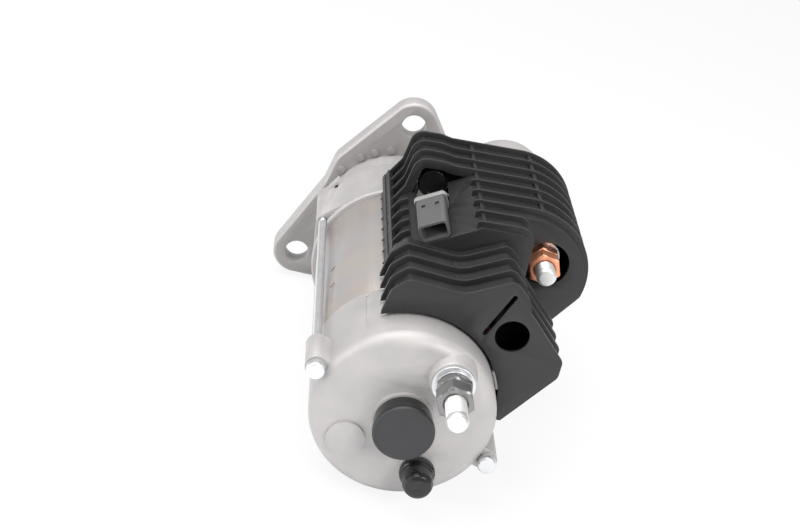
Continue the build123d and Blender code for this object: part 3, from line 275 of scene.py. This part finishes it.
coverPlastic = mouldedPlastic("coverPlastic", 0.017, 0.33)
finishes = {
    "cast_aluminium": castAluminium("castAluminium", castSettings["tone"], 0.86),
    "yoke_steel": yokePaint(),
    "zinc_steel": platedSteel("zincPlate", 0.80, 0.26),
    "hard_steel": platedSteel("groundSteel", 0.42, 0.22),
    "core_steel": platedSteel("bluedSteel", 0.26, 0.36, (0.95, 0.97, 1.05)),
    "copper": copperMetal("bareCopper", 1.15, 0.36),
    "copper_winding": enamelWire(),
    "black_plastic": coverPlastic,
    "cap_black": glossBlack(),
    "phenolic": mouldedPlastic("phenolicBrown", 0.035, 0.42, (1.0, 0.55, 0.35)),
    "rubber": softRubber(),
    "clip_grey": mouldedPlastic("clipGrey", 0.24, 0.40),
    "brush_carbon": mouldedPlastic("brushCarbon", 0.03, 0.55, (1.0, 0.9, 0.85)),
}
# painted highlight: lighter copies of the cast and cover finishes, laid on the rounded edges
edgeHighlightFinishes = {
    "cast_aluminium": castAluminium("castEdgeHighlight", 0.72, 0.95),
    "black_plastic": mouldedPlastic("coverEdgeHighlight", 0.16, 0.26),
}
for node, made in nodes.items():
    made.data.materials.clear()
    made.data.materials.append(finishes[slotOf[node]])
print("finishes given to", len(nodes), "nodes")


# Softened copies: a node's own mesh, merged, with its edges rounded in a lighter finish that paints a highlight on
# them
def softened(node, width, segments=2, sharp=28.0, material=None):
    source = nodes[node]
    copy = source.data.copy()
    copy.name = node + "Shell"
    work = bmesh.new()
    work.from_mesh(copy)
    bmesh.ops.remove_doubles(work, verts=work.verts, dist=2e-6)
    bmesh.ops.dissolve_limit(work, angle_limit=radians(0.6), verts=work.verts, edges=work.edges)
    work.to_mesh(copy)
    work.free()
    if copy.has_custom_normals:
        copy.normals_split_custom_set([(0, 0, 0)] * len(copy.loops))
    shell = bpy.data.objects.new(node + "_soft", copy)
    bpy.context.scene.collection.objects.link(shell)
    copy.polygons.foreach_set("use_smooth", np.ones(len(copy.polygons), bool))
    copy.materials.clear()
    copy.materials.append(material or finishes[slotOf[node]])
    rounding = shell.modifiers.new("rounding", "BEVEL")
    # the painted-highlight finish goes on the bevel's faces
    if slotOf[node] in edgeHighlightFinishes:
        copy.materials.append(edgeHighlightFinishes[slotOf[node]])
        rounding.material = 1
    rounding.width, rounding.segments = width, segments
    rounding.limit_method, rounding.angle_limit = "ANGLE", radians(sharp)
    rounding.harden_normals = True
    rounding.use_clamp_overlap = True
    rounding.miter_outer = "MITER_ARC"
    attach(shell, bodyOf[node])
    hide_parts(node)
    return shell


connectorFront = -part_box("connector_shell")[1].y
ownFinish = {
    "connector_shell": mouldedPlastic("connectorPlastic", 0.100, 0.26,
                                      paleFrom=connectorFront - 0.001, paleTo=connectorFront + 0.005),
}
softWidths = {
    "drive_housing": 0.0011, "end_cover": 0.0008, "yoke": 0.0004, "solenoid_cover": 0.00035,
    "connector_shell": 0.00045,
    "solenoid_case": 0.0006, "solenoid_cap": 0.0006, "cover_clip": 0.0004, "motor_strap": 0.0003,
    "battery_washer": 0.0003, "strap_grommet": 0.0004, "clutch_shell": 0.0005,
}
for node, width in softWidths.items():
    softened(node, width, material=ownFinish.get(node))
print("softened", len(softWidths), "pieces")

# Return spring: a softened copy on its body, with a mesh of its own
springSettings = {"travel": 0.012, "rounding": 0.00008}
returnSpring = softened("return_spring", springSettings["rounding"])
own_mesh(returnSpring)
print("return spring made")


# Turned pieces: a profile of (radius, distance behind the front) in millimetres is carried round its axis.
# Each corner of the profile becomes the curve (1-t)^2 entry + 2t(1-t) corner + t^2 exit.
def softProfile(corners, softness=0.25, closed=False, steps=4):
    points = np.array(corners, float)
    before, after = np.roll(points, 1, 0) - points, np.roll(points, -1, 0) - points
    spans = [np.maximum(np.linalg.norm(side, axis=1, keepdims=True), 1e-9) for side in (before, after)]
    entry = points + before * np.minimum(softness / spans[0], 0.45)
    leave = points + after * np.minimum(softness / spans[1], 0.45)
    if not closed:
        entry[0] = leave[0] = points[0]
        entry[-1] = leave[-1] = points[-1]
    t = np.linspace(0, 1, steps + 1)[None, :, None]
    curve = (1 - t) ** 2 * entry[:, None] + 2 * t * (1 - t) * points[:, None] + t ** 2 * leave[:, None]
    curve = curve.reshape(-1, 2)
    keep = np.linalg.norm(curve - np.roll(curve, 1, 0), axis=1) > 1e-5
    keep[0] = True
    return curve[keep]


def sixSided(flats, turn):
    # the radius is cut back to the hexagon: flats / 2 over the cosine of the angle from the nearest flat
    def cut(radius, angle, distance):
        fromFlat = np.mod(angle - turn + pi / 6, pi / 3) - pi / 6
        return np.minimum(radius, flats / 2 / np.cos(fromFlat))
    return cut


def threaded(pitch, deep, first, last):
    # the radius dips by a triangle wave of distance / pitch less angle / one turn, between two distances
    def cut(radius, angle, distance):
        wave = np.abs(2 * np.mod(distance / pitch - angle / (2 * pi), 1.0) - 1)
        ends = np.clip((distance - first) / pitch, 0, 1) * np.clip((last - distance) / pitch, 0, 1)
        return radius - deep * wave * ends * (radius > deep * 2)
    return cut


def turnedPiece(name, node, profile, centre=None, front=None, shape=None, closed=False, segments=96,
                finish=None, lift=None):
    low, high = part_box(node)
    centre = centre or ((low.x + high.x) / 2, (low.z + high.z) / 2)
    front = high.y if front is None else front
    angle = np.linspace(0, 2 * pi, segments, endpoint=False)[None, :]
    radius = np.repeat(profile[:, :1], segments, 1)
    distance = np.repeat(profile[:, 1:], segments, 1)
    if shape:
        radius = shape(radius, angle, distance)
    if lift:
        distance = distance + lift(radius, angle)
    grid = np.stack([centre[0] + radius / 1000 * np.cos(angle), front - distance / 1000,
                     centre[1] + radius / 1000 * np.sin(angle)], axis=2)
    stations = len(profile)
    rows = np.arange(stations if closed else stations - 1)[:, None]
    columns = np.arange(segments)[None, :]
    nextRow, nextColumn = (rows + 1) % stations, (columns + 1) % segments
    faces = np.stack([rows * segments + columns, rows * segments + nextColumn,
                      nextRow * segments + nextColumn, nextRow * segments + columns], axis=2).reshape(-1, 4)
    mesh = bpy.data.meshes.new(name)
    mesh.from_pydata(grid.reshape(-1, 3).tolist(), [], faces.tolist())
    work = bmesh.new()
    work.from_mesh(mesh)
    bmesh.ops.remove_doubles(work, verts=work.verts, dist=2e-7)
    work.to_mesh(mesh)
    work.free()
    mesh.polygons.foreach_set("use_smooth", np.ones(len(mesh.polygons), bool))
    mesh.set_sharp_from_angle(angle=radians(32))
    mesh.materials.append(finish or finishes[slotOf[node]])
    piece = bpy.data.objects.new(name, mesh)
    bpy.context.scene.collection.objects.link(piece)
    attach(piece, bodyOf[node])
    return piece


def nutProfile(flats, thick, bore):
    # outside from front to rear with its two chamfers, then the bore back to the front
    corner, cone = flats / 3 ** 0.5, 0.5 * flats * 0.96
    rise = (corner - cone) * 0.577
    return softProfile([(cone, 0), (corner, rise), (corner, thick - rise), (cone, thick),
                        (bore + 0.9, thick), (bore, thick - 0.9), (bore, 0.9), (bore + 0.9, 0)], 0.2, True)


studSettings = {"pitch": 1.75, "threadDeep": 0.55, "perTurn": 8}


def studProfile(radius, start, end, taper, taperLength):
    # a fine row of stations along the shank, then the tapered tip
    along = np.arange(start, end - taperLength, studSettings["pitch"] / studSettings["perTurn"])
    shank = np.stack([np.full_like(along, radius), along], axis=1)
    tip = softProfile([(radius, end - taperLength), (radius - taper, end), (0, end)], 0.6)
    return np.concatenate([[(0, start)], shank, tip])


# Ground stud on the end cover with its washers and nuts
brightStud = platedSteel("brightStud", 0.86, 0.36, (1.0, 0.995, 0.97))
darkNut = platedSteel("greyNut", 0.30, 0.28, (1.0, 0.98, 0.97))
groundSettings = {
    "outside": 39.0, "flats": 19.0,
    "nuts": ((0.0, 5.6, 8.0), (6.0, 10.0, 20.0)),  # start, thickness, turn in degrees
}
groundLow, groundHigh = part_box("ground_stud")
groundLength = (groundHigh.y - groundLow.y) * 1000
groundFront = groundLength - groundSettings["outside"]
threadGround = threaded(studSettings["pitch"], studSettings["threadDeep"], groundFront + 1, groundLength - 4)
groundStud = turnedPiece("groundStud", "ground_stud", studProfile(6.0, 0.0, groundLength, 1.3, 2.4),
                         shape=threadGround, segments=64, finish=brightStud)
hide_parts("ground_stud")
flatWasher = turnedPiece("groundFlatWasher", "ground_washers",
                         softProfile([(12, 0), (12, 2.4), (6.3, 2.4), (6.3, 0)], 0.45, True))


def springTurn(radius, angle):
    # one turn of a screw: 0.9 mm of rise from end to end
    return 0.9 * (angle / (2 * pi) - 0.5) * (radius > 0)


springWasher = turnedPiece("groundSpringWasher", "ground_washers",
                           softProfile([(10, 2.9), (10, 4.1), (6.3, 4.1), (6.3, 2.9)], 0.3, True),
                           lift=springTurn, segments=120)
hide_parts("ground_washers")
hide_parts("ground_washers")
for number, (start, thick, turn) in enumerate(groundSettings["nuts"]):
    nut = turnedPiece(f"groundNut{number + 1}", "ground_nuts",
                      nutProfile(groundSettings["flats"], thick, 6.05) + (0, start),
                      shape=sixSided(groundSettings["flats"], radians(turn)),
                      closed=True, segments=120, finish=darkNut)
    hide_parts("ground_nuts")
print("ground terminal made")

# Battery terminal: its nuts, threaded stud and head
batteryLow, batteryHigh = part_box("battery_stud")
batteryLength = (batteryHigh.y - batteryLow.y) * 1000
terminalSettings = {"flats": 18.0, "height": 8.5, "step": 8.8, "turns": (12.0, 17.0), "outside": 31.0}
for number, turn in enumerate(terminalSettings["turns"]):
    nut = turnedPiece(f"batteryNut{number + 1}", "battery_nuts",
                      nutProfile(terminalSettings["flats"], terminalSettings["height"], 6.05)
                      + (0, number * terminalSettings["step"]),
                      shape=sixSided(terminalSettings["flats"], radians(turn)), closed=True, segments=120)
    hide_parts("battery_nuts")
batteryStart = batteryLength - terminalSettings["outside"]
batteryStud = turnedPiece("batteryStud", "battery_stud", studProfile(6.0, batteryStart, batteryLength, 1.4, 1.8),
                          shape=threaded(studSettings["pitch"], studSettings["threadDeep"],
                                         batteryStart, batteryLength - 2),
                          segments=64, finish=brightStud)
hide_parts("battery_stud")
batteryHead = turnedPiece("batteryStudHead", "battery_stud",
                          softProfile([(0, 0), (6.9, 0), (6.9, 3.35), (6.0, 3.35),
                                       (6.0, batteryStart + 0.5), (0, batteryStart + 0.5)], 0.3))
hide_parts("battery_stud")
print("battery terminal made")

# Bearing cap and drain cap on the end cover
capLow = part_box("bearing_cap")[0]
capFace = glossBlack("bearingCapFinish", -capLow.y - 0.0012)
bearingCap = turnedPiece("bearingCap", "bearing_cap", softProfile([
    (0, 0), (12.3, 0), (12.3, 5.6), (16.4, 5.6), (16.6, 12.8), (17.3, 14.0), (17.3, 17.0), (16.6, 18.4),
    (15.6, 18.4), (15.3, 18.1), (0, 18.0)], 0.35), segments=128, finish=capFace)
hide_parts("bearing_cap")


def gripRibs(radius, angle, distance):
    # shallow slots round the rim: the radius drops wherever the cosine of 24 times the angle is high
    return radius - 0.22 * (np.cos(angle * 24) > 0.35) * (radius > 9.9) * (distance > 6.5)


drainCap = turnedPiece("drainCap", "drain_cap", softProfile([
    (0, 0), (4.8, 0), (4.8, 5.6), (9.6, 5.6), (10.1, 7.0), (10.1, 10.0), (9.2, 11.0), (8.9, 12.4), (8.4, 12.9),
    (8.6, 19.5),
    (7.4, 22.2), (5.0, 23.2), (1.6, 23.5), (1.2, 23.2), (0, 23.2)], 0.5), shape=gripRibs, segments=192)
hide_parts("drain_cap")
print("caps made")

# Through bolts: rolled thread at the front, plain rod, plain round head
rodLow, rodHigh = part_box("through_bolts")
rodLength = (rodHigh.y - rodLow.y) * 1000
boltSettings = {"headLong": 5.0, "headRadius": 0.0054}
headStart = rodLength - boltSettings["headLong"]
rodStations = np.arange(1.0, 24.0, 0.25)
rodShank = np.stack([np.full_like(rodStations, 2.6), rodStations], 1)
rodFront = np.concatenate([softProfile([(0, 0), (1.9, 0), (2.6, 0.9)], 0.4), rodShank])
rodBack = softProfile([
    (2.6, 24.2), (2.6, headStart - 0.6), (5.4, headStart - 0.6), (5.4, rodLength - 1.0), (4.6, rodLength),
    (0, rodLength)], 0.3)
inset = boltSettings["headRadius"]
boltPlaces = {"leftThroughBolt": (rodLow.x + inset, rodHigh.z - inset),
              "rightThroughBolt": (rodHigh.x - inset, rodLow.z + inset)}
for name, centre in boltPlaces.items():
    rod = turnedPiece(name, "through_bolts", np.concatenate([rodFront, rodBack]), centre=centre,
                      shape=threaded(0.8, 0.28, 1.0, 22.0), segments=72)
    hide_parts("through_bolts")
print("through bolts made")

# Relay can: drawn shell with a rolled bead and a dished end
relayLow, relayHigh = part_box("relay_can")
relayLong = (relayHigh.y - relayLow.y) * 1000
relayCan = turnedPiece("relayCan", "relay_can", softProfile([
    (0, 0), (9.3, 0), (9.5, 0.5), (9.5, relayLong - 3.2), (9.1, relayLong - 2.8), (9.1, relayLong - 2.3),
    (9.5, relayLong - 1.9), (9.4, relayLong - 0.7), (8.6, relayLong), (6.9, relayLong), (6.5, relayLong - 0.5),
    (0, relayLong - 0.6)], 0.3), finish=finishes["cap_black"])
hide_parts("relay_can")
print("relay made")


# Camera, light and floor
cameraSettings = {
    "place": (-0.1095, -0.9683, 0.4460), "right": (0.9800, -0.0250, 0.1976), "up": (-0.1643, 0.4590, 0.8731),
    "lens": 68.15,
}
lens = bpy.data.cameras.new("camera")
lens.lens, lens.sensor_width = cameraSettings["lens"], 36.0
camera = bpy.data.objects.new("camera", lens)
right, up = Vector(cameraSettings["right"]).normalized(), Vector(cameraSettings["up"])
back = right.cross(up).normalized()
up = back.cross(right)
camera.matrix_world = Matrix.Translation(cameraSettings["place"]) @ Matrix((right, up, back)).transposed().to_4x4()
bpy.context.scene.collection.objects.link(camera)
bpy.context.scene.camera = camera

# The backdrop is white to the eye, while the light that it gives stays soft and dimmer
roomSettings = {"backdrop": 1.0, "glow": 0.52, "tint": (0.97, 0.98, 1.0, 1)}
world = bpy.data.worlds.new("studio")
world.use_nodes = True
worldNodes, worldLinks = world.node_tree.nodes, world.node_tree.links
glow = worldNodes["Background"]
glow.inputs["Color"].default_value = roomSettings["tint"]
glow.inputs["Strength"].default_value = roomSettings["glow"]
backdrop = worldNodes.new("ShaderNodeBackground")
backdrop.inputs["Strength"].default_value = roomSettings["backdrop"]
backdrop.inputs["Color"].default_value = (1, 1, 1, 1)
rays, choice = worldNodes.new("ShaderNodeLightPath"), worldNodes.new("ShaderNodeMixShader")
worldLinks.new(rays.outputs["Is Camera Ray"], choice.inputs[0])
worldLinks.new(glow.outputs[0], choice.inputs[1])
worldLinks.new(backdrop.outputs[0], choice.inputs[2])
worldLinks.new(choice.outputs[0], worldNodes["World Output"].inputs["Surface"])
bpy.context.scene.world = world
bpy.context.scene.view_settings.view_transform = "Standard"

lightSettings = {
    "topBox": {"at": (-0.25, -0.15, 1.10), "size": (1.1, 0.8), "power": 12.0, "aim": (0.0, -0.13, 0.0)},
    "leftBox": {"at": (-1.10, -0.55, 0.45), "size": (0.5, 1.0), "power": 5.0, "aim": (0.0, -0.13, 0.02)},
    "rearBox": {"at": (0.65, -1.15, 0.75), "size": (0.6, 0.6), "power": 9.5, "aim": (0.02, -0.2, 0.02)},
}
for name, light in lightSettings.items():
    lamp = bpy.data.lights.new(name, "AREA")
    lamp.shape, lamp.size, lamp.size_y, lamp.energy = "RECTANGLE", *light["size"], light["power"]
    holder = bpy.data.objects.new(name, lamp)
    holder.location = light["at"]
    aim = Vector(light["aim"]) - Vector(light["at"])
    holder.rotation_mode = "QUATERNION"
    holder.rotation_quaternion = aim.to_track_quat("-Z", "Y")
    bpy.context.scene.collection.objects.link(holder)

floorMesh = bpy.data.meshes.new("floor")
reach = 6.0
corners = [(-reach, -reach, cadLow.z), (reach, -reach, cadLow.z),
           (reach, reach, cadLow.z), (-reach, reach, cadLow.z)]
floorMesh.from_pydata(corners, [], [(0, 1, 2, 3)])
floor = bpy.data.objects.new("floor", floorMesh)
bpy.context.scene.collection.objects.link(floor)
paper = Board("paper")
paperShade = paper.node("ShaderNodeBsdfDiffuse", {}, {"Color": (0.90, 0.905, 0.915, 1)})
paperGlow = paper.node("ShaderNodeEmission", {}, {"Color": (1, 1, 1, 1), "Strength": 1.0})
paperEye = paper.node("ShaderNodeLightPath")
paperMix = paper.node("ShaderNodeMixShader", {}, {0: paperEye * 0.86, 1: paperShade, 2: paperGlow})
paper.node("ShaderNodeOutputMaterial", {}, {"Surface": paperMix})
floorMesh.materials.append(paper.material)
print("stage ready")
